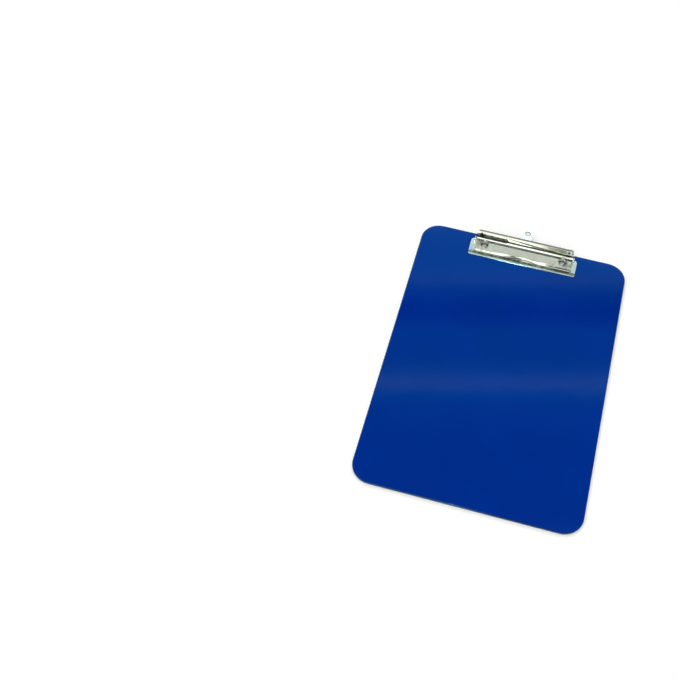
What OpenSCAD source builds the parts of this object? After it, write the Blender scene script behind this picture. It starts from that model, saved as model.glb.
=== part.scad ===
// A4 clipboard: a flat moulded board, a sprung pressed-steel clip riveted along its
// top edge, and a flat hanger that slides in and out of the clip.
//
// The board lies on its back at z = 0. X runs across it, Y runs up to the clip and
// Z rises out of its writing face. The origin is at the middle of the back.
// Inside at_clip(), y = 0 is the board's top edge and z = 0 is the writing face.

/* [Board] */
// Width of the board
board_w = 240; // [200:5:320]
// Length of the board, up to the edge that carries the clip
board_l = 355; // [300:5:450]
// Thickness of the board
board_t = 3; // [2.4:0.2:5]
// Plan radius of the board's four corners
board_corner_r = 22; // [10:1:40]
// Radius that eases the board's upper and lower edges
board_edge_r = 0.8; // [0.4:0.1:1.1]

/* [Base plate] */
// Thickness of the sheet steel that the base plate and the jaw are pressed from
sheet_t = 0.8; // [0.6:0.05:0.9]
// Width of each side margin, outside the ear that carries the pivot
base_margin = 3.9; // [3:0.1:8]
// Distance of the base plate's front edge from the board's top edge
base_front = 32.5; // [30:0.5:36]
// Distance of the side margins' rear ends from the board's top edge
base_rear = 7; // [6:0.5:9]
// Plan radius of the base plate's front corners
base_front_r = 2; // [1:0.5:4]
// Plan radius of the rear ends of its side margins
base_rear_r = 5.5; // [3:0.5:8]
// Radius that eases the base plate's upper edge
base_edge_r = 0.3; // [0.1:0.05:0.4]
// Width of the tongue that reaches back under the lever
tongue_w = 80; // [70:1:100]
// Distance of the tongue's rear edge from the board's top edge
tongue_rear = 1.2; // [0.5:0.1:2]

/* [Pivot] */
// Distance of the pivot from the board's top edge
pivot_y = 11.5; // [11:0.25:13]
// Diameter of the pivot rod
rod_d = 3; // [2.5:0.1:3.4]
// Radial clearance of the jaw on the rod
rod_clearance = 0.05; // [0.02:0.01:0.1]
// Steel left round the rod in the jaw's flanges
boss_wall = 1; // [0.8:0.05:1.1]
// Diameter of the rod's upset heads
rod_head_d = 4.6; // [4:0.1:6]
// Height of the rod's upset heads
rod_head_h = 0.7; // [0.4:0.1:1]
// Gap between the base plate's ears and the jaw's flanges
ear_gap = 0.3; // [0.1:0.05:0.5]

/* [Jaw] */
// Width of the jaw across its flanges
jaw_w = 115; // [100:1:117]
// Angle at which the jaw's plate rises from the lip to the ridge
jaw_slope = 15; // [15:0.25:16]
// Length of the jaw's plate along its slope, from the lip to the ridge
jaw_l = 17.4; // [16:0.1:18]
// Plan radius of the jaw's two front corners
jaw_corner_r = 5; // [4:0.5:7]
// Outer radius of the bends that turn the plate down into its side flanges
jaw_bend_r = 1.8; // [1.2:0.1:2]
// Outer radius of the broad bend that turns the plate down into the lip
lip_bend_r = 3.2; // [2.2:0.1:3.6]
// Gap between the shut lip and the base plate, the thickness of one sheet of paper
lip_gap = 0.1; // [0.05:0.05:0.3]
// Width of the scallop in the middle of the lip
scallop_w = 38; // [20:1:60]
// Depth of that scallop
scallop_depth = 3.5; // [1:0.25:4.5]
// Gap between the raised panel and the access holes beside it
panel_gap = 3.3; // [2.5:0.1:8]
// Length of the raised panel along the slope
panel_l = 9.8; // [8:0.2:10.4]
// Radius of the raised panel's corners
panel_r = 3.6; // [2:0.2:4.5]
// Height of the raised panel above the plate
panel_rise = 0.45; // [0.4:0.05:0.6]
// Radius that eases the raised panel's edge
panel_edge_r = 0.35; // [0.1:0.05:0.35]
// Diameter of the two holes that let the riveting tool through the jaw
access_d = 9.4; // [8:0.1:9.8]
// Reach of the flanges' arms behind the pivot
arm_reach = 7.5; // [5:0.25:8]
// Height of the arms' lower edge above the pivot
arm_lift = 1.2; // [1.1:0.1:1.5]

/* [Lever] */
// Inner radius of the ridge, where the sheet wraps over the rod
ridge_r = 2.2; // [1:0.1:2.4]
// Inner radius of the other folds across the jaw
fold_r = 0.7; // [0.5:0.1:1]
// Angle at which the sheet drops behind the ridge
drop_slope = 29.5; // [28.5:0.5:30]
// Length of the drop between its two folds
drop_l = 1.6; // [1.2:0.1:2.2]
// Angle at which the lever rises
lever_slope = 44.5; // [42:0.5:46]
// Length of the lever's straight part
lever_l = 5.9; // [4:0.1:6.5]
// Angle by which the lever's edge is turned back down
curl_angle = 35; // [20:1:45]
// Length of the turned edge
curl_l = 0.5; // [0.2:0.1:1]
// Distance of the lever's ends from the jaw's sides
lever_inset = 1.2; // [1.05:0.05:1.5]
// Radius of the lever's two rear corners
lever_corner_r = 2.6; // [1.5:0.1:3.5]

/* [Springs] */
// Wire diameter of the two torsion springs
wire_d = 0.8; // [0.6:0.05:0.9]
// Whole turns in each coil
spring_turns = 5; // [3:1:7]
// Gap between neighbouring turns
turn_gap = 0.1; // [0.05:0.05:0.3]
// Gap between the rod and the coil round it
coil_gap = 0.1; // [0.05:0.05:0.2]
// Gap between the coil and the plate above it
ridge_gap = 0.3; // [0.2:0.05:0.5]
// Distance of each spring from the middle of the clip
spring_x = 26; // [18:1:34]
// Reach of the spring's lower leg behind the pivot
leg_reach = 7.5; // [6:0.25:8.5]
// Length of the upper leg past the fold that it lifts
leg_past_fold = 1.2; // [0.8:0.1:1.6]

/* [Hanger] */
// Width of the hanger's strap
hanger_w = 12; // [10:0.5:18]
// Thickness of the hanger
hanger_t = 0.8; // [0.6:0.05:0.9]
// Diameter of the eye that hangs on a nail or hook
eye_d = 5.5; // [4:0.25:7]
// Distance of the eye beyond the board's top edge, with the hanger pushed in
eye_in_reach = 1.4; // [0.5:0.1:4]
// Travel of the hanger, from pushed in to pulled out
hanger_travel = 14; // [10:0.5:14.5]
// Length of the foot that stops the hanger in its guides
foot_l = 2; // [1.5:0.1:2.5]
// How far the foot stands out on each side of the strap
foot_step = 2.4; // [1.8:0.1:3]
// Clearance round the hanger in its guides
slide_gap = 0.1; // [0.05:0.05:0.2]
// Length of the guides along the hanger
guide_l = 3; // [2:0.1:3.2]
// How far each guide laps over the strap
guide_lap = 2; // [1:0.1:3]
// Width of the lug that stops the hanger when it is pushed in
stop_w = 6; // [4:0.5:10]
// Length of that lug
stop_l = 1.2; // [0.8:0.1:2]

/* [Rivets] */
// Distance of each rivet from the jaw's side
rivet_inset = 11.5; // [9:0.5:16]
// Distance of the rivets from the board's top edge
rivet_y = 17.9; // [17.5:0.1:18.5]
// Diameter of the rivet's shank
rivet_d = 3.6; // [3:0.1:4.2]
// Diameter of the rivet's domed head
rivet_head_d = 6; // [5.4:0.1:6.8]
// Height of the rivet's domed head
rivet_head_h = 1.2; // [0.8:0.1:1.6]
// Diameter of the rolled tail behind the board
rivet_tail_d = 6.4; // [6:0.1:7]
// Thickness of the rolled tail
rivet_tail_h = 0.9; // [0.6:0.1:1]
// Diameter of the rivet's hollow
rivet_hollow_d = 2; // [1.6:0.1:2.2]
// Clearance round the rivet in the board and in the base plate
rivet_clearance = 0.05; // [0.02:0.01:0.15]

/* [Hidden] */
$fn = 64;
over = 1; // how far a cutter runs past what it cuts
nickel = [0.76, 0.77, 0.74];

// pivot: the jaw's flanges are round about it, and their ends clear the base plate
rod_hole_r = rod_d / 2 + rod_clearance;
boss_r = rod_hole_r + boss_wall;
flange_clearance = 0.7;
pivot_h = sheet_t + flange_clearance + boss_r;
ear_x = jaw_w / 2 + ear_gap;
ear_wall = 1.6;
ear_r = rod_hole_r + ear_wall;
base_w = 2 * (ear_x + sheet_t + base_margin);

// springs: the coil clears the rod, and the ridge clears the coil
coil_r = rod_d / 2 + coil_gap + wire_d / 2;
ridge_h = pivot_h + coil_r + wire_d / 2 + ridge_gap + sheet_t;

// jaw: the frame of the sloping plate has its origin on the plate's top, above the ridge fold
fold_outer_r = fold_r + sheet_t;
ridge_outer_r = ridge_r + sheet_t;
plate_start_y = -pivot_y - ridge_outer_r * sin(jaw_slope);
plate_start_h = ridge_h - ridge_outer_r + ridge_outer_r * cos(jaw_slope);
pan_depth = ridge_h;
lip_h = sheet_t + lip_gap;
fold_lap = 0.8; // how far the lever's sheet runs on into the plate
lever_w = jaw_w - 2 * lever_inset;

// trough: middle of the fold behind the ridge, measured from the pivot
trough_y = ridge_outer_r * sin(drop_slope) + drop_l * cos(drop_slope) + fold_r * sin(drop_slope);
trough_h = ridge_h - pivot_h - ridge_outer_r * (1 - cos(drop_slope)) - drop_l * sin(drop_slope)
           + fold_r * cos(drop_slope);
edge_slope = lever_slope - curl_angle;
lever_top_h = pivot_h + trough_h - fold_r * cos(lever_slope) + lever_l * sin(lever_slope)
              + fold_outer_r * (cos(edge_slope) - cos(lever_slope)) + curl_l * sin(edge_slope);

// hanger: it lies on the base plate, and its foot runs between the guides and the stop
guide_front = tongue_rear + guide_l;
hanger_h = sheet_t + slide_gap / 2;
stop_gap = 0.1;
foot_rear = -guide_front - stop_gap;
foot_front = foot_rear - foot_l;
eye_reach = eye_in_reach + hanger_travel;

// rivets: the tail bears on its pocket's floor and ends just inside the board's back
rivet_x = jaw_w / 2 - rivet_inset;
panel_w = 2 * (rivet_x - access_d / 2 - panel_gap);
tail_recess = 0.05;
pocket_depth = rivet_tail_h + tail_recess;

module at_clip() {
    translate([0, board_l / 2, board_t])
        children();
}

// ---- shapes that several pieces share ----

// Half of a slab's upright section, from its middle out to an edge eased above and below
module edge_section(reach, t, upper_r, lower_r) {
    square([reach - max(upper_r, lower_r), t]);
    translate([0, lower_r])
        square([reach, t - upper_r - lower_r]);
    translate([reach - upper_r, t - upper_r])
        circle(upper_r);
    if (lower_r > 0)
        translate([reach - lower_r, lower_r])
            circle(lower_r);
}

module full_section(reach, t, upper_r, lower_r) {
    edge_section(reach, t, upper_r, lower_r);
    mirror([1, 0])
        edge_section(reach, t, upper_r, lower_r);
}

// A flat slab standing on z = 0, round at its corners in plan and eased at its edges
module eased_slab(w, l, t, corner_r, upper_r, lower_r = 0) {
    rotate([90, 0, 0])
        linear_extrude(l - 2 * corner_r, center = true)
            full_section(w / 2, t, upper_r, lower_r);
    rotate([90, 0, 90])
        linear_extrude(w - 2 * corner_r, center = true)
            full_section(l / 2, t, upper_r, lower_r);
    for (corner = [[1, 1, 0], [-1, 1, 90], [-1, -1, 180], [1, -1, 270]])
        translate([corner[0] * (w / 2 - corner_r), corner[1] * (l / 2 - corner_r), 0])
            rotate([0, 0, corner[2]])
                rotate_extrude(angle = 90)
                    edge_section(corner_r, t, upper_r, lower_r);
}

module rounded_rectangle(w, l, r) {
    square([w - 2 * r, l], center = true);
    square([w, l - 2 * r], center = true);
    for (x = [-1, 1], y = [-1, 1])
        translate([x * (w / 2 - r), y * (l / 2 - r)])
            circle(r);
}

// Extrudes a side view, drawn with the board's Y across and its Z up, to both sides of x = 0
module side_extrude(w) {
    rotate([90, 0, 90])
        linear_extrude(w, center = true)
            children();
}

// ---- board ----

module board() {
    color([0.01, 0.19, 0.54])
        difference() {
            eased_slab(board_w, board_l, board_t, board_corner_r, board_edge_r, board_edge_r);
            at_clip()
                for (x = [-1, 1])
                    translate([x * rivet_x, -rivet_y, -board_t])
                        rivet_hole();
        }
}

// A through hole, with a pocket in the board's back that hides the rivet's tail
module rivet_hole() {
    translate([0, 0, -over])
        cylinder(h = board_t + 2 * over, r = rivet_d / 2 + rivet_clearance);
    translate([0, 0, -over])
        cylinder(h = pocket_depth + over, r = rivet_tail_d / 2 + rivet_clearance);
}

// ---- base plate ----

module clip_base() {
    color(nickel)
        at_clip() {
            difference() {
                base_blank();
                for (x = [-1, 1])
                    translate([x * rivet_x, -rivet_y, -over])
                        cylinder(h = sheet_t + 2 * over, r = rivet_d / 2 + rivet_clearance);
                for (side = [0, 1])
                    mirror([side, 0, 0])
                        base_windows();
            }
            for (side = [0, 1])
                mirror([side, 0, 0]) {
                    ear();
                    guide();
                }
            stop_lug();
        }
}

// The flat blank: front corners and margin ends of their own radii, and a tongue behind
module base_blank() {
    plate_l = 2 * (base_front - base_rear);
    tongue_l = (base_front + base_rear) / 2 - tongue_rear;
    intersection() {
        translate([0, plate_l / 2 - base_front, 0])
            eased_slab(base_w, plate_l, sheet_t, base_front_r, base_edge_r);
        translate([0, -plate_l / 2 - base_rear, 0])
            eased_slab(base_w, plate_l, sheet_t, base_rear_r, base_edge_r);
    }
    translate([0, -tongue_l / 2 - tongue_rear, 0])
        linear_extrude(sheet_t)
            rounded_rectangle(tongue_w, tongue_l, base_front_r);
}

// An ear stands up out of the plate just outside the jaw and carries the rod
module ear() {
    translate([ear_x + sheet_t / 2, 0, 0])
        difference() {
            side_extrude(sheet_t) {
                translate([-pivot_y - ear_r, 0])
                    square([2 * ear_r, pivot_h]);
                translate([-pivot_y, pivot_h])
                    circle(ear_r);
            }
            translate([0, -pivot_y, pivot_h])
                rotate([0, 90, 0])
                    cylinder(h = sheet_t + 2 * over, r = rod_hole_r, center = true);
        }
}

// A guide stands beside the hanger's strap and laps over its edge
module guide() {
    guide_x = hanger_w / 2 + slide_gap;
    top_h = sheet_t + hanger_t + 2 * slide_gap;
    translate([0, -guide_front, 0]) {
        translate([guide_x, 0, 0])
            cube([sheet_t, guide_l, top_h + sheet_t]);
        translate([guide_x - guide_lap, 0, top_h])
            cube([guide_lap + sheet_t, guide_l, sheet_t]);
    }
}

// A lug pressed up out of the plate meets the foot of the pushed-in hanger
module stop_lug() {
    stop_rear = foot_front - hanger_travel - stop_gap;
    translate([-stop_w / 2, stop_rear - stop_l, 0])
        cube([stop_w, stop_l, sheet_t + hanger_t]);
}

// The openings that the ear and the guide were folded up out of
module base_windows() {
    ear_blank = pivot_h + ear_r - sheet_t;
    guide_blank = hanger_t + 2 * slide_gap + guide_lap;
    translate([ear_x - ear_blank, -pivot_y - ear_r, -over])
        cube([ear_blank, 2 * ear_r, sheet_t + 2 * over]);
    translate([hanger_w / 2 + slide_gap + sheet_t, -guide_front, -over])
        cube([guide_blank, guide_l + over, sheet_t + 2 * over]);
}

// ---- jaw ----

module clip_jaw() {
    color(nickel)
        at_clip()
            difference() {
                union() {
                    jaw_pan();
                    lever();
                }
                for (x = [-1, 1])
                    translate([x * rivet_x, -rivet_y, sheet_t])
                        cylinder(h = ridge_h, r = access_d / 2);
                translate([0, -pivot_y, pivot_h])
                    rotate([0, 90, 0])
                        cylinder(h = jaw_w + 2 * over, r = rod_hole_r, center = true);
            }
}

// Puts children in the frame of the sloping plate: its top is z = 0, it runs to -y
module on_plate() {
    translate([0, plate_start_y, plate_start_h])
        rotate([jaw_slope, 0, 0])
            children();
}

// The pan is a shallow upturned tray: plate, lip and flanges pressed in one
module jaw_pan() {
    intersection() {
        on_plate()
            difference() {
                pan_solid(0);
                pan_solid(sheet_t);
            }
        side_extrude(jaw_w + 2 * over)
            jaw_side_trim();
    }
}

// The pan without its hollow, or, one sheet in, the hollow itself
module pan_solid(inset) {
    difference() {
        union() {
            pan_block(inset);
            panel_block(inset);
        }
        scallop(inset);
    }
}

// The pan as a solid block, drawn in by inset on every face but the open rear and underside
module pan_block(inset) {
    block_l = 2 * jaw_l;
    under = inset > 0 ? over : 0;
    difference() {
        translate([0, block_l / 2 - jaw_l, -pan_depth - under])
            eased_slab(jaw_w - 2 * inset, block_l - 2 * inset, pan_depth + under - inset,
                       jaw_corner_r - inset, jaw_bend_r - inset);
        lip_rounding(inset);
    }
}

// What the broad bend takes off the block's straight front edge
module lip_rounding(inset) {
    translate([0, lip_bend_r - jaw_l, -lip_bend_r])
        difference() {
            translate([-jaw_w / 2 - over, -lip_bend_r - over, 0])
                cube([jaw_w + 2 * over, lip_bend_r + over, lip_bend_r + over]);
            rotate([0, 90, 0])
                cylinder(h = jaw_w + 4 * over, r = lip_bend_r - inset, center = true);
        }
}

// A shallow arc out of the lip's middle, with its edge bent down as the flanges are.
// The hollow is cut by the same arc, one sheet wider.
module scallop(inset) {
    arc_r = (scallop_w * scallop_w / 4 + scallop_depth * scallop_depth) / (2 * scallop_depth);
    bend_at = arc_r + jaw_bend_r;
    translate([0, -jaw_l + scallop_depth - arc_r, 0]) {
        translate([0, 0, -pan_depth - over])
            cylinder(h = pan_depth + 2 * over, r = arc_r + inset, $fn = 256);
        difference() {
            translate([0, 0, -jaw_bend_r])
                cylinder(h = jaw_bend_r + over, r = bend_at, $fn = 256);
            rotate_extrude($fn = 256)
                translate([bend_at, -jaw_bend_r])
                    circle(jaw_bend_r - inset, $fn = 64);
        }
    }
}

// The raised panel: a step up on top, and the same step, one sheet in, underneath
module panel_block(inset) {
    panel_y = -jaw_l / 2;
    under = inset > 0 ? over : 0;
    translate([0, panel_y, -sheet_t - under])
        eased_slab(panel_w - 2 * inset, panel_l - 2 * inset, sheet_t + under + panel_rise - inset,
                   panel_r - inset, panel_edge_r);
}

// What is left of the pan in side view: all in front of the ridge, a round end at the pivot,
// and an arm behind it that stands beside the lever
module jaw_side_trim() {
    arm_r = (boss_r - arm_lift) / 2;
    plate_end_y = plate_start_y - fold_lap / 2 * cos(jaw_slope);
    plate_end_h = plate_start_h - fold_lap / 2 * sin(jaw_slope);
    polygon([[-pivot_y - 2 * jaw_l, lip_h],
             [-pivot_y, lip_h],
             [-pivot_y, ridge_h - ridge_outer_r],
             [plate_end_y, plate_end_h],
             [plate_end_y - over * sin(jaw_slope), plate_end_h + over * cos(jaw_slope)],
             [-pivot_y - 2 * jaw_l, plate_start_h + over]]);
    translate([-pivot_y, pivot_h])
        circle(boss_r);
    translate([-pivot_y, pivot_h + arm_lift])
        square([arm_reach - arm_r, 2 * arm_r]);
    translate([arm_reach - arm_r - pivot_y, pivot_h + arm_lift + arm_r])
        circle(arm_r);
}

// Draws a folded sheet as runs and bends. Each step is [run, bend angle, inner radius]:
// a positive bend turns the sheet up. The sheet's underside is the line that is followed.
module folded_sheet(steps, i = 0) {
    if (i < len(steps)) {
        run = steps[i][0];
        bend = steps[i][1];
        inner_r = steps[i][2];
        square([run, sheet_t]);
        translate([run, 0]) {
            if (bend > 0)
                translate([0, sheet_t + inner_r]) {
                    rotate(-90)
                        sector(bend, inner_r, inner_r + sheet_t);
                    rotate(bend)
                        translate([0, -sheet_t - inner_r])
                            folded_sheet(steps, i + 1);
                }
            if (bend < 0)
                translate([0, -inner_r]) {
                    rotate(90 + bend)
                        sector(-bend, inner_r, inner_r + sheet_t);
                    rotate(bend)
                        translate([0, inner_r])
                            folded_sheet(steps, i + 1);
                }
        }
    }
}

// Part of a ring, from angle 0 up to the given angle, which is under 90
module sector(angle, inner_r, outer_r) {
    reach = 2 * outer_r;
    intersection() {
        difference() {
            circle(outer_r);
            circle(inner_r);
        }
        polygon([[0, 0], [reach, 0], [reach, reach * tan(min(angle, 89) / 2)],
                 [reach * cos(angle), reach * sin(angle)]]);
    }
}

// Ridge, drop, trough, lever and turned edge, folded across the full width between the flanges
module lever() {
    intersection() {
        on_plate()
            side_extrude(lever_w)
                translate([-fold_lap, -sheet_t])
                    folded_sheet([[fold_lap, -jaw_slope - drop_slope, ridge_r],
                                  [drop_l, drop_slope + lever_slope, fold_r],
                                  [lever_l, -curl_angle, fold_r],
                                  [curl_l, 0, 0]]);
        rotate([90, 0, 0])
            linear_extrude(4 * jaw_l, center = true)
                lever_front_view();
    }
}

// Seen from the front, the lever is a plate with round upper corners
module lever_front_view() {
    translate([-lever_w / 2, 0])
        square([lever_w, lever_top_h - lever_corner_r]);
    translate([-lever_w / 2 + lever_corner_r, 0])
        square([lever_w - 2 * lever_corner_r, lever_top_h]);
    for (x = [-1, 1])
        translate([x * (lever_w / 2 - lever_corner_r), lever_top_h - lever_corner_r])
            circle(lever_corner_r);
}

// ---- rod and rivets ----

// A domed head standing on z = 0
module domed_head(d, h) {
    dome_r = (d * d / 4 + h * h) / (2 * h);
    rotate_extrude()
        intersection() {
            translate([0, h - dome_r])
                circle(dome_r);
            square([d / 2, h]);
        }
}

module pivot_rod() {
    color(nickel)
        at_clip()
            translate([0, -pivot_y, pivot_h])
                rotate([0, 90, 0]) {
                    cylinder(h = 2 * (ear_x + sheet_t), r = rod_d / 2, center = true);
                    for (side = [0, 1])
                        mirror([0, 0, side])
                            translate([0, 0, ear_x + sheet_t])
                                domed_head(rod_head_d, rod_head_h);
                }
}

// A semi-tubular rivet: domed head on the base plate, hollow tail rolled out behind the board
module rivet(side) {
    color(nickel)
        at_clip()
            translate([side * rivet_x, -rivet_y, 0]) {
                translate([0, 0, sheet_t])
                    domed_head(rivet_head_d, rivet_head_h);
                translate([0, 0, pocket_depth - board_t])
                    rivet_body();
            }
}

// Shank above the pocket's floor at z = 0, rolled tail below it
module rivet_body() {
    shank_l = board_t - pocket_depth + sheet_t;
    difference() {
        union() {
            cylinder(h = shank_l, r = rivet_d / 2);
            rotate_extrude()
                translate([0, -rivet_tail_h])
                    rolled_edge();
        }
        translate([0, 0, -rivet_tail_h - over])
            cylinder(h = rivet_tail_h + over + shank_l / 2, r = rivet_hollow_d / 2);
    }
}

// Half section of the tail, with its rim rolled to a full round
module rolled_edge() {
    roll_r = rivet_tail_h / 2;
    square([rivet_tail_d / 2 - roll_r, rivet_tail_h]);
    translate([rivet_tail_d / 2 - roll_r, roll_r])
        circle(roll_r);
}

// ---- springs ----

// The wire's middle line is followed in the plane of the coil, with the pivot at [0, 0].
// A station is [y, z, x along the rod, angle of the wire's outer side].
wire_gap = 0.03;
lower_leg_end = [leg_reach, sheet_t - pivot_h + wire_d / 2 + wire_gap];
lower_tangent = atan2(lower_leg_end[1], lower_leg_end[0]) - acos(coil_r / norm(lower_leg_end));
fold_reach = fold_outer_r + wire_d / 2 + wire_gap;
upper_tangent = atan2(trough_h, trough_y) + acos((coil_r + fold_reach) / norm([trough_y, trough_h]));
upper_leg_l = trough_y * sin(upper_tangent) - trough_h * cos(upper_tangent) + leg_past_fold;
coil_angle = 360 * spring_turns + (lower_tangent - upper_tangent + 360);
coil_l = coil_angle / 360 * (wire_d + turn_gap);
ring_step = 20;
ring_count = ceil(coil_angle / ring_step);

function on_coil(angle) = coil_r * [cos(angle), sin(angle)];

function spring_stations() = [
    [lower_leg_end[0], lower_leg_end[1], -coil_l / 2, lower_tangent],
    for (i = [0 : ring_count])
        let (turned = coil_angle * i / ring_count, angle = lower_tangent - turned)
            [on_coil(angle)[0], on_coil(angle)[1], coil_l * (i / ring_count - 0.5), angle],
    [on_coil(upper_tangent)[0] + upper_leg_l * sin(upper_tangent),
     on_coil(upper_tangent)[1] - upper_leg_l * cos(upper_tangent), coil_l / 2, upper_tangent]
];

// Sweeps a round wire along the stations
module wire(stations, d, sides = 10) {
    last = len(stations) - 1;
    points = [for (s = stations, k = [0 : sides - 1])
                  let (a = 360 * k / sides)
                      [s[2] + d / 2 * sin(a),
                       s[0] + d / 2 * cos(a) * cos(s[3]),
                       s[1] + d / 2 * cos(a) * sin(s[3])]];
    walls = [for (i = [0 : last - 1], k = [0 : sides - 1])
                 let (next = (k + 1) % sides)
                     [i * sides + k, i * sides + next, (i + 1) * sides + next, (i + 1) * sides + k]];
    first_end = [for (k = [0 : sides - 1]) sides - 1 - k];
    last_end = [for (k = [0 : sides - 1]) last * sides + k];
    polyhedron(points, concat([first_end, last_end], walls), convexity = 8);
}

module spring(side) {
    color([0.62, 0.63, 0.62])
        at_clip()
            translate([side * spring_x, -pivot_y, pivot_h])
                mirror([side < 0 ? 1 : 0, 0, 0])
                    wire(spring_stations(), wire_d);
}

// ---- hanger ----

// A flat strap with an eye, and a foot too wide to leave the guides
module hanger() {
    color(nickel)
        at_clip()
            translate([0, 0, hanger_h])
                difference() {
                    linear_extrude(hanger_t) {
                        translate([-hanger_w / 2, foot_front])
                            square([hanger_w, eye_reach - foot_front]);
                        translate([-hanger_w / 2 - foot_step, foot_front])
                            square([hanger_w + 2 * foot_step, foot_l]);
                        translate([0, eye_reach])
                            circle(hanger_w / 2);
                    }
                    translate([0, eye_reach, -over])
                        cylinder(h = hanger_t + 2 * over, r = eye_d / 2);
                }
}

board();
clip_base();
clip_jaw();
pivot_rod();
spring(-1);  // spring_left
spring(1);  // spring_right
hanger();
rivet(-1);  // rivet_left
rivet(1);  // rivet_right
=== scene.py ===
# %% [markdown]
# # A clipboard with a sprung nickel clip
# The object is a flat board of moulded plastic. A clip of pressed, nickel-plated steel is
# riveted along its top edge, and a small hanger with an eye slides out from under the clip.
# The shapes come from a imported CAD model, which stays as it is. This lesson adds what CAD
# leaves out: the finishes, softened edges, springs of smooth wire, the light and the camera.
# The model is loaded first.

# %% Load the model
import math

import bmesh
import bpy
from mathutils import Matrix, Vector


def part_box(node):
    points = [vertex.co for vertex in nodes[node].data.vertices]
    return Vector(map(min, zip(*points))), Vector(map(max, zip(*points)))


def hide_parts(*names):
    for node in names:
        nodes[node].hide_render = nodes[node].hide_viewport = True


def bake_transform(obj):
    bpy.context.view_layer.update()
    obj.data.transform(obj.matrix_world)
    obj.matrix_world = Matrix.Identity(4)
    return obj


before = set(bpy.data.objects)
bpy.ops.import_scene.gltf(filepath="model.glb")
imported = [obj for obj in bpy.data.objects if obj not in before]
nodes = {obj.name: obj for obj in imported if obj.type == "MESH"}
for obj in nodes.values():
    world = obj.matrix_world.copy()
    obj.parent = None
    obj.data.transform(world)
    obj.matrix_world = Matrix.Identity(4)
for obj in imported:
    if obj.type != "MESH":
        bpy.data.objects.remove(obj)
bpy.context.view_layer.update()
print("loaded", len(nodes), "solids:", ", ".join(sorted(nodes)))

# %% [markdown]
# ## Sums that build shader nodes
# A shader is a graph, and a graph of sums is hard to read. So one small class wraps a socket,
# and ordinary Python sums on it add the Math nodes: `1 - mask` works as well as `mask * 2`.
# It could be done by adding every node by hand, but a sum says in one line what is meant.

# %% A value that flows through a finish
class Flow:
    """A value on its way through a finish. Sums on it add Math nodes."""

    def __init__(self, recipe, socket):
        self.recipe, self.socket = recipe, socket

    def math(self, operation, *values):
        return self.recipe.node("ShaderNodeMath", {"operation": operation},
                                dict(enumerate(values)))

    def __add__(self, other):
        return self.math("ADD", self, other)

    def __radd__(self, other):
        return self.math("ADD", other, self)

    def __sub__(self, other):
        return self.math("SUBTRACT", self, other)

    def __rsub__(self, other):
        return self.math("SUBTRACT", other, self)

    def __mul__(self, other):
        return self.math("MULTIPLY", self, other)

    def __rmul__(self, other):
        return self.math("MULTIPLY", other, self)

    def __truediv__(self, other):
        return self.math("DIVIDE", self, other)

    def __abs__(self):
        return self.math("ABSOLUTE", self)

    def root(self):
        return self.math("SQRT", self)

    def wave(self):
        return self.math("SINE", self)

    def at_least(self, other):
        return self.math("MAXIMUM", self, other)

    def at_most(self, other):
        return self.math("MINIMUM", self, other)

    def rise(self, low, high):
        """0 below low, 1 above high, and a smooth rise between them."""
        settings = {"interpolation_type": "SMOOTHSTEP"}
        return self.recipe.node("ShaderNodeMapRange", settings,
                                {"Value": self, "From Min": low, "From Max": high})

    def between(self, low, high, soft):
        """1 between low and high, fading to 0 over the soft distance outside them."""
        return self.rise(low - soft, low) * (1 - self.rise(high, high + soft))


print("sums ready")

# %% [markdown]
# ## One recipe book for all finishes
# Every finish here is a Principled shader with a few patterns in front of it, and the studio
# round the object is a pattern too. The class below holds a node tree, adds any node from its
# type, its settings and its inputs, and has short names for the patterns that are used again
# and again. All patterns follow the object's own metres, so a noise of scale 1000 has
# millimetre grains on every piece, however large the piece is.

# %% The recipe book
class Recipe:
    """A node tree and the few ways of adding to it."""

    def __init__(self, tree):
        self.tree = tree

    def node(self, kind, settings=None, inputs=None, output=0):
        """Adds one node: its settings first, then the values or links of its sockets."""
        made = self.tree.nodes.new(kind)
        for key, value in (settings or {}).items():
            setattr(made, key, value)
        for key, value in (inputs or {}).items():
            self.feed(made.inputs[key], value)
        return Flow(self, made.outputs[output])

    def feed(self, socket, value):
        if isinstance(value, Flow):
            self.tree.links.new(value.socket, socket)
        else:
            socket.default_value = value

    def outputs(self, kind, inputs=None):
        """Adds one node and gives all its outputs."""
        first = self.node(kind, inputs=inputs)
        return [Flow(self, out) for out in first.socket.node.outputs]

    def place(self):
        return self.node("ShaderNodeTexCoord", output="Object")

    def axes(self, place):
        return self.outputs("ShaderNodeSeparateXYZ", {0: place})

    def stretch(self, place, scale, turn=0.0):
        """Turns the pattern about Z, then scales it along each axis."""
        turned = self.node("ShaderNodeVectorRotate", {"rotation_type": "Z_AXIS"},
                           {"Vector": place, "Angle": turn})
        return self.node("ShaderNodeVectorMath", {"operation": "MULTIPLY"},
                         {0: turned, 1: scale})

    def noise(self, place, scale, detail=2.0):
        return self.node("ShaderNodeTexNoise", {"noise_dimensions": "3D"},
                         {"Vector": place, "Scale": scale, "Detail": detail})

    def mix(self, share, first, second):
        """A colour between two, by share."""
        return self.node("ShaderNodeMix", {"data_type": "RGBA"},
                         {0: share, 6: first, 7: second}, output=2)

    def ramp(self, value, stops, low=0.0, high=1.0):
        """A colour read off a row of stops, each of them [value, colour]."""
        made = self.node("ShaderNodeValToRGB", inputs={0: (value - low) / (high - low)})
        row = made.socket.node.color_ramp.elements
        while len(row) < len(stops):
            row.new(0.5)
        for stop, (at, colour) in zip(row, stops):
            stop.position = (at - low) / (high - low)
            stop.color = (*colour, 1)
        return made


print("recipe book ready")

# %% [markdown]
# ## A finish
# A finish is a recipe that ends in one shader and is laid on pieces. Its relief is a bump,
# which tilts the shading and leaves the mesh as it is, so fine marks cost no geometry.

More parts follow.
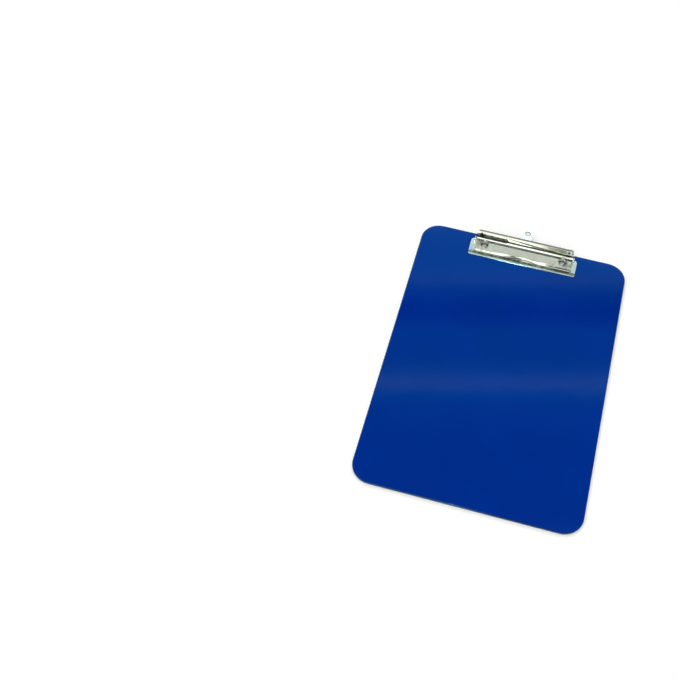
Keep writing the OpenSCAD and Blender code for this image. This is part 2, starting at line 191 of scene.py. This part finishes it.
# %% A finish
class Finish(Recipe):
    """A material made of one shader and the patterns in front of it."""

    def __init__(self, name):
        self.material = bpy.data.materials.new(name)
        self.material.use_nodes = True
        super().__init__(self.material.node_tree)
        self.shader = self.tree.nodes["Principled BSDF"]

    def relief(self, height):
        """A bump whose height is in metres."""
        return self.node("ShaderNodeBump", inputs={"Height": height, "Distance": 1.0,
                                                   "Strength": 1.0})

    def shade(self, **sockets):
        """Sets or links sockets of the shader. A name's spaces are written as underscores."""
        for key, value in sockets.items():
            self.feed(self.shader.inputs[key.replace("_", " ")], value)
        return self

    def onto(self, *pieces):
        for piece in pieces:
            piece.data.materials.clear()
            piece.data.materials.append(self.material)
        return self


print("finish ready")

# %% [markdown]
# ## Distances that masks are made of
# Wear, dirt and pressed shapes sit in known places, so a mask for each starts as a distance
# in metres: from a rounded rectangle, from a circle's middle, or across a scratch. A painted
# image could hold them too, but a distance stays sharp at any size and needs no unwrapping.

# %% Distances
def length(first, second):
    return (first * first + second * second).root()


def rounded_field(x, y, half_w, half_l, radius):
    """Distance outside a rounded rectangle; it is negative inside."""
    over_x = abs(x) - (half_w - radius)
    over_y = abs(y) - (half_l - radius)
    outside = length(over_x.at_least(0.0), over_y.at_least(0.0))
    return outside + over_x.at_least(over_y).at_most(0.0) - radius


def hairlines(finish, place, turn, width=0.006):
    """Long thin scratches in one direction: the thin contour lines of a stretched noise."""
    streaks = finish.noise(finish.stretch(place, (9.0, 260.0, 60.0), turn), 1.0, 1.0)
    line = 1 - abs(streaks - 0.5).rise(0.0, width)
    where = finish.noise(finish.stretch(place, (1, 1, 1), turn), 14.0, 1.0).rise(0.5, 0.72)
    return line * where


print("masks ready")

# %% [markdown]
# ## The board's plastic
# The board is moulded from deep blue plastic with a high gloss. It isn't painted, so its
# colour is the plastic's own and hardly changes, apart from slow clouds where the melt met.
# A real one shows two more things close up: the skin is faintly wavy, so reflections
# wobble, and fine hairlines run across it from years of pens and sleeves. The rounded edge
# and the sides are also darkened in colour, as painted shade. All are patterns in front of
# one plain gloss shader, because modelling scratches as geometry would cost a great deal
# and show nothing more.

# %% Board plastic
far_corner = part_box("board")[1]
board_half_w, board_half_l, face_z = far_corner.x, far_corner.y, far_corner.z
board_corner_r = 0.022
rim_w, shade_band_w = 0.0035, 0.0011

plastic = Finish("board_plastic")
spot = plastic.place()
x, y, _ = plastic.axes(spot)
from_rim = rounded_field(x, y, board_half_w, board_half_l, board_corner_r)
rim = from_rim.rise(-rim_w, 0.0)
side = from_rim.rise(-shade_band_w, -0.0003)
clouds = plastic.noise(spot, 11.0, 3.0)
fleck = plastic.noise(spot, 700.0, 2.0)
scratches = (hairlines(plastic, spot, 0.35).at_least(hairlines(plastic, spot, -1.1))
             .at_least(hairlines(plastic, spot, 1.45)))
blue = plastic.mix(clouds.rise(0.3, 0.7), (0.0001, 0.0200, 0.232, 1), (0.0002, 0.0225, 0.256, 1))
blue = plastic.mix(scratches * 0.10, blue, (0.02, 0.07, 0.36, 1))
# Painted shade: the board's rounded edge and sides are darkened in colour.
blue = plastic.mix(side * 0.65, blue, (0.0, 0.004, 0.05, 1))
gloss = 0.020 + clouds * 0.02 + fleck * 0.010 + scratches * 0.08 + rim * 0.03
skin = (plastic.noise(spot, 26.0, 2.0) * 0.00004 + plastic.noise(spot, 900.0, 1.0) * 0.0000010
        - scratches * 0.0000015)
plastic.shade(Base_Color=blue, Roughness=gloss, IOR=1.49, Normal=plastic.relief(skin),
              Specular_IOR_Level=0.50, Specular_Tint=(0.36, 1.0, 1.0, 1)).onto(nodes["board"])
print("board", [round(2000 * v) for v in (board_half_w, board_half_l)], "mm")

# %% [markdown]
# ## Nickel plate
# The clip's sheet steel is cut, pressed and then plated with nickel, a slightly warm, faintly
# green white metal. Three things keep it from looking like a perfect mirror: the sheet was
# rolled, so it has fine lines one way; pressing leaves it slightly wavy; and handling leaves
# smudges. Polished chrome would be a single low roughness. Here the roughness follows the
# rolling lines and the smudges, and the bump holds the slow waves. Every piece of the clip
# starts from this recipe, and then adds its own marks, grease and painted shade.

# %% Nickel
class Nickel(Finish):
    """Nickel plate on rolled steel. Lines gives how the rolling lines are stretched."""

    def __init__(self, name, polish=0.10, lines=(9.0, 620.0, 620.0), waves=0.00006):
        super().__init__(name)
        self.spot = spot = self.place()
        self.x, self.y, self.z = self.axes(spot)
        rolled = self.noise(self.stretch(spot, lines), 1.0, 3.0)
        smudge = self.noise(spot, 130.0, 3.0).rise(0.42, 0.72)
        stain = self.noise(spot, 55.0, 2.0).rise(0.35, 0.75)
        swell = self.noise(spot, 42.0, 1.0)
        self.colour = self.mix(stain, (0.615, 0.665, 0.575, 1), (0.665, 0.715, 0.625, 1))
        self.gloss = polish + rolled * 0.04 + smudge * 0.05
        self.height = swell * waves + rolled * 0.0000010

    def dirt_and_painted_shade(self, mask, share=0.5, dark_colour=(0.040, 0.040, 0.030, 1)):
        """Darkens the colour and roughens by a mask: grease and dust on some pieces, painted shade
        on others.
        """
        self.colour = self.mix(mask * share, self.colour, dark_colour)
        self.gloss = self.gloss + mask * share * 0.35

    def onto(self, *pieces):
        self.shade(Metallic=1.0, Base_Color=self.colour, Roughness=self.gloss,
                   Normal=self.relief(self.height))
        return super().onto(*pieces)


print("nickel recipe ready")

# %% [markdown]
# ## The clip's measures
# The masks and the springs below follow the folded sheet of the clip, so its measures are
# gathered here once, as its maker would give them: the sheet, the rod, the ridge over it, and
# the slopes that fall from the ridge, forward to the lip and back to the trough. Typing each
# place as a finished number would be shorter, but it would hide how they hang together. The
# board's face and top edge, which everything stands on, are read from the frame.

# %% The clip's measures
clip_y = board_half_l
sheet_t, fold_r = 0.0008, 0.0007
rod_r, rod_gap, boss_wall, flange_gap = 0.0015, 0.00005, 0.0010, 0.0007
wire_r, coil_gap, turn_gap, wire_gap = 0.0004, 0.0001, 0.0001, 0.00003
ridge_gap, ridge_inner_r = 0.0003, 0.0022
plate_slope, drop_slope = math.radians(15), math.radians(29.5)
drop_l = 0.0016
pivot_h = sheet_t + flange_gap + rod_r + rod_gap + boss_wall
pivot = Vector((0, clip_y - 0.0115, face_z + pivot_h))
coil_r = rod_r + coil_gap + wire_r
ridge_h = coil_r + wire_r + ridge_gap + sheet_t
ridge_r = ridge_inner_r + sheet_t
jaw_half_w, rivet_inset, access_r = 0.0575, 0.0115, 0.0047
rivet_x, rivet_y = jaw_half_w - rivet_inset, clip_y - 0.0179
eye_y, eye_r = clip_y + 0.0154, 0.00275
print("pivot", [round(1000 * v, 2) for v in pivot], "mm")

# %% [markdown]
# ## The base plate
# The base plate lies on the board under everything else, and its colour is darkened as
# painted shade where the jaw covers it: behind the lip, round the two rivets, and, as a
# painted contact shadow, along the line that the shut lip covers. Each is a soft mask with
# some speckle in it. Darkening the whole plate would be quicker, but its bright side margins
# show how clean the plating is elsewhere.

# %% Base plate
plate = Nickel("base_nickel", polish=0.09)
lip_y = clip_y - 0.0285
speckle = plate.noise(plate.spot, 420.0, 3.0).rise(0.35, 0.65)
behind = plate.y.rise(lip_y + 0.001, lip_y + 0.006) * (1 - abs(plate.x).rise(0.0565, 0.0580))
by_rivet = 1 - length(abs(plate.x) - rivet_x, plate.y - rivet_y).rise(0.0045, 0.0075)
at_lip = plate.y.between(lip_y - 0.0020, lip_y + 0.0012, 0.0005)
# Painted shade: darker under the jaw, round the rivets, and most along the lip as a painted
# contact shadow.
plate.dirt_and_painted_shade(behind * (0.45 + speckle * 0.55), 0.32)
plate.dirt_and_painted_shade(by_rivet * (0.6 + speckle * 0.4), 0.7)
plate.dirt_and_painted_shade(at_lip * (0.7 + speckle * 0.3), 0.9)
plate.onto(nodes["clip_base"])
print("base plate: soiled behind the lip, along it and round the rivets")

# %% [markdown]
# ## The jaw
# The jaw is one sheet, pressed in a die into a plate with a lip, two flanges, a ridge over
# the rod and a lever to push on. The die coined the raised panel between the rivets flat and
# slightly satin, while the sheet round it stayed as bright as it was rolled and dips a
# little towards the panel. The mask for the panel is made in the plate's own slope, where
# the panel is a plain rounded rectangle. A pressed sheet is also never quite flat beside a
# bend. So the bump tilts the shading by 10 to 16 degrees over the ridge's crest, in the
# valley in front of it and in the apron before the lip. Each is a ramp of the distance along
# the plate's slope that stops at both ends.

# %% Jaw: the pressed shape
jaw = Nickel("jaw_nickel", polish=0.045, waves=0.00005)
plate_start = pivot + Vector((0, -ridge_r * math.sin(plate_slope),
                              ridge_h - ridge_r * (1 - math.cos(plate_slope))))
from_start_y, from_start_z = jaw.y - plate_start.y, jaw.z - plate_start.z
down = from_start_y * math.cos(plate_slope) + from_start_z * math.sin(plate_slope)
above = from_start_z * math.cos(plate_slope) - from_start_y * math.sin(plate_slope)
outer_face = above.rise(-0.0007, -0.0002)
panel_middle, panel_half_l, panel_r, panel_gap = 0.0087, 0.0049, 0.0036, 0.0033
panel_half_w = rivet_x - access_r - panel_gap
field = rounded_field(jaw.x, down + panel_middle, panel_half_w, panel_half_l, panel_r)
panel = (1 - field.rise(-0.0003, 0.0001)) * outer_face
surround = field.between(0.0001, 0.0006, 0.0022) * down.rise(-0.0172, -0.0145) * outer_face
matt = jaw.noise(jaw.stretch(jaw.spot, (30.0, 900.0, 900.0)), 1.0, 4.0)
jaw.gloss = jaw.gloss + panel * (0.10 + matt * 0.10)
crest_tilt, valley_tilt, apron_tilt = math.radians(16.5), math.radians(9.7), math.radians(16)
crest = down.at_least(-0.0008).at_most(0.0008) * -math.tan(crest_tilt)
valley = (down + 0.0010).at_least(-0.0026).at_most(0.0) * math.tan(valley_tilt)
apron = (down + 0.0140).at_least(-0.0031).at_most(0.0) * math.tan(apron_tilt)
jaw.height = jaw.height - surround * 0.00010 + panel * matt * 0.0000015
jaw.height = jaw.height + crest + valley + apron
print("jaw: panel", round(2000 * panel_half_w), "mm wide")

# %% [markdown]
# ## Painted shade on the jaw
# The lever stays bright. The trough behind the ridge is painted near black as shade, most of
# all at its left end, and so are two spots near the lever's ends, where it is dark under the
# lever. The valley gets a painted dark reflection, and the rims of the round holes painted
# shade. The plate's two ends are darkened in patches, and the lever's top edge in a line.
# Each place is a distance turned into a soft mask. All but the lever's edge are broken up by
# a noise as well, so that none of them ends in a clean line.

# %% Jaw: painted shade
painted_shade = (0.012, 0.012, 0.010, 1)
trough = pivot + Vector((0, 0.0033, 0.0017))
corner_x = 0.0510
ragged = jaw.noise(jaw.spot, 420.0, 2.0) * 0.0012 - 0.0006
reach = 0.0022 + (1 - (jaw.x + ragged).rise(-0.0225, -0.0190)) * 0.0022 + ragged
in_trough = 1 - length(jaw.y - trough.y, jaw.z - trough.z).rise(reach - 0.0012, reach)
corner = (1 - abs(abs(jaw.x) - corner_x).rise(0.0, 0.0045)) * (1 - length(
    jaw.y - trough.y - 0.002, jaw.z - trough.z - 0.0015).rise(0.0020, 0.0045))
hole_rim = 1 - abs(length(abs(jaw.x) - rivet_x, jaw.y - rivet_y) - access_r).rise(0.0, 0.0022)
in_valley = down.between(-0.0034, -0.0010, 0.0006) * outer_face
lever_edge = jaw.z.rise(face_z + 0.0099, face_z + 0.0103)
ends = abs(jaw.x).rise(0.040, 0.045) * down.between(-0.0160, -0.0010, 0.001) * outer_face
grain = jaw.noise(jaw.spot, 500.0, 3.0).rise(0.35, 0.65)
# Painted shade: near black in the trough and at the lever's ends.
jaw.dirt_and_painted_shade(in_trough * (0.86 + grain * 0.14), 1.0, dark_colour=painted_shade)
jaw.dirt_and_painted_shade(corner * jaw.noise(jaw.spot, 330.0, 2.0).rise(0.38, 0.46), 1.0, dark_colour=painted_shade)
# Painted dark reflection in the valley; the plate's ends and the lever's top edge are darkened.
jaw.dirt_and_painted_shade(in_valley * (0.6 + grain * 0.4), 0.25)
jaw.dirt_and_painted_shade(ends * jaw.noise(jaw.spot, 150.0, 3.0).rise(0.40, 0.65), 0.40)
jaw.dirt_and_painted_shade(lever_edge, 0.75)
# Painted shade round the rims of the access holes.
jaw.dirt_and_painted_shade(hole_rim * grain, 0.5)
jaw.onto(nodes["clip_jaw"])
print("jaw: grime in the trough, corners, valley, ends, edge and hole rims")

# %% [markdown]
# ## Hanger, rivets, rod
# The hanger slides in its guides each time the board is hung up, and each guide leaves a
# scuff along its edge. Its colour is paler than the clip's, as a painted highlight; where it
# lies under the clip it is darkened as painted shade, and the rim of its eye is painted dark
# as shade. The rivets' colour is paler too, as a painted highlight, with painted shade round
# their edge. The rivets and the rod's ends were upset by a tool that left faint rings round
# their middles. Rings are a wave of the distance from the middle; scuffs are bands along the
# strap. Rings and scuffs are far too fine to be worth modelling.

# %% Hanger, rivets, rod
strap = Nickel("hanger_nickel", lines=(620.0, 9.0, 620.0))
# Painted highlight: the hanger's colour is made paler.
strap.colour = strap.mix(0.8, strap.colour, (0.84, 0.82, 0.80, 1))
scuff = abs(strap.x).between(0.0040, 0.0052, 0.0004)
scratched = strap.noise(strap.stretch(strap.spot, (2600.0, 40.0, 40.0)), 1.0, 2.0).rise(0.42, 0.62)
strap.gloss = strap.gloss + scuff * scratched * 0.16
strap.height = strap.height - scuff * scratched * 0.0000025
# Painted shade where the strap lies under the clip.
strap.dirt_and_painted_shade(1 - strap.y.rise(clip_y - 0.0045, clip_y - 0.0015), 0.3)
from_eye = length(strap.x, strap.y - eye_y)
# Painted shade: the rim of the eye is made dark.
strap.dirt_and_painted_shade(1 - from_eye.rise(eye_r + 0.0004, eye_r + 0.0009), 0.95)
strap.onto(nodes["hanger"])


def rings(finish, distance, pitch, depth):
    """Turned rings round a middle, each pitch apart."""
    wobble = finish.noise(finish.spot, 900.0, 1.0) * 0.6
    return (distance * (2 * math.pi / pitch) + wobble).wave() * depth


heads = Nickel("rivet_nickel", polish=0.30)
# Painted highlight: the rivets' colour is made paler.
heads.colour = heads.mix(0.7, heads.colour, (0.90, 0.89, 0.84, 1))
from_rivet = length(abs(heads.x) - rivet_x, heads.y - rivet_y)
heads.height = heads.height + rings(heads, from_rivet, 0.00032, 0.0000020)
# Painted shade round the edge of each rivet head.
heads.dirt_and_painted_shade(from_rivet.rise(0.0026, 0.0031), 0.4)
heads.onto(nodes["rivet_left"], nodes["rivet_right"])

rod = Nickel("rod_steel", polish=0.18, lines=(14.0, 700.0, 700.0))
from_axis = length(rod.y - pivot.y, rod.z - pivot.z)
end = abs(rod.x).rise(0.0580, 0.0583)
rod.height = rod.height + end * rings(rod, from_axis, 0.00030, 0.0000020)
rod.dirt_and_painted_shade((1 - end) * rod.noise(rod.spot, 260.0, 2.0).rise(0.4, 0.7), 0.4)
rod.onto(nodes["pivot_rod"])
print("hanger, rivets and rod finished")

# %% [markdown]
# ## Edges that catch the light
# A sheet's cut edge is never perfectly sharp: tumbling and plating round it by about a tenth
# of a millimetre, and that tiny round is what flashes when the piece turns. The packed
# meshes meet at sharp edges. A Weld modifier first joins the faces that touch, and a Bevel
# modifier then rounds every edge over an angle. The meshes themselves stay as they are.

# %% Soft edges
def soften(piece, width):
    weld = piece.modifiers.new("join_faces", "WELD")
    weld.merge_threshold = 0.000001
    edge = piece.modifiers.new("soft_edges", "BEVEL")
    edge.width, edge.segments = width, 2
    edge.limit_method, edge.angle_limit = "ANGLE", math.radians(40)
    edge.harden_normals = True


for name, width in (("clip_base", 0.00010), ("clip_jaw", 0.00012), ("hanger", 0.00012)):
    soften(nodes[name], width)
print("edges softened on 3 pieces")

# %% [markdown]
# ## The springs
# Two torsion springs sit on the rod under the ridge. Each is one wire: a straight leg on the
# base plate, five turns round the rod, and a second leg that lifts the lever's fold and so
# presses the lip down. In CAD the wire has flat sides. Here the same path is swept again
# with a rounder wire and rounded ends, and the coordinates along and round the wire are
# kept as UVs for the drawing marks. When the jaw opens, a real coil winds up: each turn
# follows the jaw a little more than the one before.

# %% Spring wire path
turns, spring_x = 5, 0.026
leg_reach, leg_past_fold = 0.0075, 0.0012
turn_pitch = 2 * wire_r + turn_gap
lower_end = Vector((leg_reach, sheet_t - pivot_h + wire_r + wire_gap))
fold_at = Vector(((ridge_r + fold_r) * math.sin(drop_slope) + drop_l * math.cos(drop_slope),
                  ridge_h - ridge_r * (1 - math.cos(drop_slope))
                  - drop_l * math.sin(drop_slope) + fold_r * math.cos(drop_slope)))
fold_reach = fold_r + sheet_t + wire_r + wire_gap
lower_angle = math.atan2(lower_end.y, lower_end.x) - math.acos(coil_r / lower_end.length)
upper_angle = (math.atan2(fold_at.y, fold_at.x)
               + math.acos((coil_r + fold_reach) / fold_at.length))
upper_leg = (fold_at.x * math.sin(upper_angle) - fold_at.y * math.cos(upper_angle)
             + leg_past_fold)
coil_turn = 2 * math.pi * (turns + 1) + lower_angle - upper_angle
coil_l = coil_turn / (2 * math.pi) * turn_pitch


def wire_path():
    """Stations along the wire: [y, z, x, angle of its outer side, radius of the wire]."""
    first = (coil_r * math.cos(lower_angle), coil_r * math.sin(lower_angle))
    last = (coil_r * math.cos(upper_angle), coil_r * math.sin(upper_angle))
    tip = (last[0] + upper_leg * math.sin(upper_angle),
           last[1] - upper_leg * math.cos(upper_angle))
    cap = [(0.0, 0.35), (0.12, 0.72), (0.35, 0.94), (0.8, 1.0)]

    def leg(end, root, x, angle):
        run = math.dist(end, root)
        spots = [(share * wire_r / run, size) for share, size in cap]
        spots += [(step / 8, 1.0) for step in range(2, 8)]
        return [(end[0] + (root[0] - end[0]) * t, end[1] + (root[1] - end[1]) * t, x, angle,
                 wire_r * size) for t, size in spots]

    coil = []
    count = round(math.degrees(coil_turn) / 6)
    for i in range(count + 1):
        angle = lower_angle - coil_turn * i / count
        coil.append((coil_r * math.cos(angle), coil_r * math.sin(angle),
                     coil_l * (i / count - 0.5), angle, wire_r))
    rear = leg(tuple(lower_end), first, -coil_l / 2, lower_angle)
    front = leg(tip, last, coil_l / 2, upper_angle)
    return rear + coil + front[::-1]


print("wire", round(1000 * coil_l, 2), "mm coil,", round(math.degrees(coil_turn)), "degrees")

# %% [markdown]
# ## Sweeping the wire
# A curve with a round bevel would give a tube in one step, but its ends would be flat. So a
# ring of points is set at each station, square to the wire, and neighbouring rings are
# joined by faces. The last few rings shrink towards each end, which rounds it, and each
# face's corners keep how far along and how far round the wire they are.

# %% Spring meshes
def sweep_wire(name, side):
    """A round wire swept along the path, mirrored on the left side."""
    sides = 14
    shape = bmesh.new()
    uv = shape.loops.layers.uv.new("along_wire")
    rows, run, before = [], 0.0, None
    for y, z, x, angle, radius in wire_path():
        middle = Vector((side * (x + spring_x), pivot.y + y, pivot.z + z))
        run += (middle - before).length if before else 0.0
        before = middle
        out, aside = Vector((0, math.cos(angle), math.sin(angle))), Vector((side, 0, 0))
        ring = []
        for k in range(sides):
            a = 2 * math.pi * k / sides
            ring.append(shape.verts.new(middle + radius * (math.cos(a) * out
                                                           + math.sin(a) * aside)))
        rows.append((ring, run))
    for (ring, start), (after, stop) in zip(rows, rows[1:]):
        for k in range(sides):
            corner = [ring[k], ring[(k + 1) % sides], after[(k + 1) % sides], after[k]]
            face = shape.faces.new(corner)
            face.smooth = True
            marks = ((start, k), (start, k + 1), (stop, k + 1), (stop, k))
            for loop, (length_at, step) in zip(face.loops, marks):
                loop[uv].uv = (length_at * 1000, step / sides)
    for ring in (rows[0][0], rows[-1][0]):
        face = shape.faces.new(ring)
        face.smooth = True
    bmesh.ops.recalc_face_normals(shape, faces=shape.faces)
    mesh = bpy.data.meshes.new(name)
    shape.to_mesh(mesh)
    shape.free()
    piece = bpy.data.objects.new(name, mesh)
    bpy.context.scene.collection.objects.link(piece)
    return piece


wire = Nickel("spring_wire", polish=0.20)
along, around, _ = wire.axes(wire.node("ShaderNodeTexCoord", output="UV"))
drawn = wire.noise(wire.node("ShaderNodeCombineXYZ", inputs={0: along * 0.4, 1: around * 34}),
                   1.0, 3.0)
wire.gloss = 0.16 + drawn * 0.22
wire.height = drawn * 0.0000025
wire.dirt_and_painted_shade(wire.noise(wire.spot, 800.0, 2.0).rise(0.45, 0.7), 0.45)
for side, name in ((-1, "spring_left"), (1, "spring_right")):
    piece = sweep_wire(name.replace("spring", "coil"), side)
    wire.onto(piece)
    wire.onto(nodes[name])
    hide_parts(name)
    at = Vector((side * spring_x, pivot.y, pivot.z))
    reach = Vector((side * (coil_l / 2 - wire_r), 0, 0))
    tuple(at - reach)
    tuple(at + reach)
    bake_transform(piece)
    print(piece.name, len(piece.data.polygons), "faces")

# %% [markdown]
# ## The studio round the object
# A bright metal and a glossy plastic show the room more than themselves, so the room is half
# of their finish. It is drawn on the world, by direction. Each direction is turned into a
# point on a flat ceiling, and one ramp across that ceiling holds the room: a dark end, a
# ceiling panel, a beam with a lit edge and a gap beside it, and the far half that a window
# lights white. Lamps would light as well, but only a drawn room gives the plastic its sharp
# bands.

# %% The ceiling
def grey(level):
    return (level, level, level)


world = bpy.data.worlds.new("studio")
bpy.context.scene.world = world
world.use_nodes = True
room = Recipe(world.node_tree)
direction = room.node("ShaderNodeTexCoord", output="Generated")
east, north, height = room.axes(direction)
height_floor = height.at_least(0.05)
beam_turn = math.radians(16)
across_beam = (north * math.cos(beam_turn) - east * math.sin(beam_turn)) / height_floor
brightest = 1.5
ceiling = [(-1.0, 0.26), (-0.30, 0.26), (-0.28, 0.09), (-0.02, 0.09), (0.0, 0.85), (0.42, 0.85),
           (0.48, 0.10), (0.55, 0.10), (0.5875, 0.15), (0.6125, 0.21), (0.625, 0.40),
           (0.6375, 0.72), (0.65, 0.47), (0.6625, 0.30), (0.675, 0.24), (0.7125, 0.24),
           (0.72, 0.0), (0.74, 0.01), (0.75, 0.13), (0.7625, 0.30), (0.775, 0.53)]


def tinted(at, level):
    """The near half is warm. The far half's gaps are blue with dusk, its bright parts white."""
    red = 1.0 if at < 0.48 else min(1.0, max(0.15, (level - 0.40) * 6))
    blue = 0.75 if at < -0.01 else 1.0
    return (level * red / brightest, level / brightest, level * blue / brightest)


stops = [(at, tinted(at, level)) for at, level in ceiling]
daylight = tuple(level / brightest for level in (0.15, 0.58, 0.97))
stops += [(0.7875, daylight), (0.845, daylight), (0.875, grey(1.0)), (1.0, grey(1.0))]
overhead = room.ramp(across_beam, stops, -1.0, 1.0)
print("ceiling drawn with", len(stops), "stops")

# %% [markdown]
# ## Panels and walls
# Five panels hang under the ceiling: a large warm softbox behind the camera, a panel on the
# left, one at the far right, a black flag between softbox and right panel that gives the
# metal its dark parts, and a strip beyond the clip, meant for the hanger alone. Each is a
# rectangle on the same flat ceiling, given by its reach to the east and to the north, with a
# soft border. The walls near the horizon are white.

# %% Panels and walls
panels = {"softbox": ((-1.6, 0.033), (-3.4, -0.33), 0.006, (1.92, 1.90, 1.70)),
          "left panel": ((-1.8, -0.3), (-0.33, 0.5), 0.05, grey(1.3)),
          "flag": ((0.12, 0.90), (-3.4, -0.02), 0.02, grey(0.05)),
          "right panel": ((1.0, 1.9), (-1.6, 0.5), 0.05, grey(1.0)),
          "strip": ((-0.6, 0.6), (0.868, 3.4), 0.006, grey(2.0))}
to_east, to_north = east / height_floor, north / height_floor
lit = overhead
for wide, deep, soft, colour in panels.values():
    covered = to_east.between(*wide, soft) * to_north.between(*deep, soft)
    lit = room.mix(covered, lit, tuple(level / brightest for level in colour) + (1,))
walls, wall_level = 1 - height.rise(0.26, 0.30), 1.4
lit = room.mix(walls, lit, grey(wall_level / brightest) + (1,))
room.feed(world.node_tree.nodes["Background"].inputs["Color"], lit)
room.feed(world.node_tree.nodes["Background"].inputs["Strength"], brightest)
print("studio hung with", len(panels), "panels")

# %% [markdown]
# ## A glint, and the table
# A small lamp close to the lens gives the tiny sparks on edges that a camera's own flash
# would. The table is a large pale sheet. It is slightly brighter to the camera and in
# reflections alone, so it looks white while its own light on the object doesn't change.

# %% Glint and table
spark = bpy.data.lights.new("glint", "POINT")
spark.energy, spark.shadow_soft_size = 8.0, 0.03
glint = bpy.data.objects.new("glint", spark)
glint.location = (-0.01, -0.78, 1.10)
bpy.context.scene.collection.objects.link(glint)

table = Finish("studio_floor")
grain = table.noise(table.place(), 3.0, 2.0)
white = table.mix(grain, (0.925, 0.925, 0.925, 1), (0.935, 0.935, 0.935, 1))
rays = {flow.socket.name: flow for flow in table.outputs("ShaderNodeLightPath")}
seen = rays["Is Camera Ray"] + rays["Is Glossy Ray"] + rays["Is Transmission Ray"]
seen = seen.at_most(1.0)
table.shade(Base_Color=white, Roughness=1.0, Specular_IOR_Level=0.0, Emission_Strength=1.0,
            Emission_Color=table.mix(seen, (0, 0, 0, 1), (0.08, 0.08, 0.08, 1)))
shape = bmesh.new()
bmesh.ops.create_grid(shape, x_segments=8, y_segments=8, size=20.0)
floor_mesh = bpy.data.meshes.new("floor")
shape.to_mesh(floor_mesh)
shape.free()
floor = bpy.data.objects.new("floor", floor_mesh)
under_board = 0.00012
floor.location.z = -under_board
bpy.context.scene.collection.objects.link(floor)
table.onto(floor)
print("table", floor.dimensions.x, "m wide")

# %% [markdown]
# ## The camera
# The board lies flat and is seen from above its lower end, turned a little to the left. The
# camera is given by three angles: how far it goes round the object, how high it stands, and
# how far it leans. From them come the directions back, across and up, which are the columns
# of its matrix. Aiming a Track To constraint would be quicker, but has no lean.

# %% Camera
turn, rise, roll = math.radians(12.97), math.radians(55.32), math.radians(-3.06)
back = Vector((math.sin(turn) * math.cos(rise), -math.cos(turn) * math.cos(rise), math.sin(rise)))
right = Vector((math.cos(turn), math.sin(turn), 0))
up = back.cross(right)
sideways = right * math.cos(roll) - up * math.sin(roll)
upward = right * math.sin(roll) + up * math.cos(roll)
lens = bpy.data.cameras.new("camera")
lens.sensor_width, lens.lens = 36.0, 60.93
lens.clip_start = 0.02
camera = bpy.data.objects.new("camera", lens)
camera.matrix_world = Matrix((sideways, upward, back)).transposed().to_4x4()
distance, shift_right, shift_up = 1.252, -0.1715, 0.0188
camera.location = (back * distance + right * shift_right + up * shift_up
                   + Vector((0, 0, face_z)))
bpy.context.scene.collection.objects.link(camera)
bpy.context.scene.camera = camera
print("camera at", [round(v, 3) for v in camera.location])

# %% [markdown]
# ## The view transform
# The colours are shown through the Standard view transform, and the scene is updated once
# more.

# %% Finish
bpy.context.scene.view_settings.view_transform = "Standard"
bpy.context.view_layer.update()
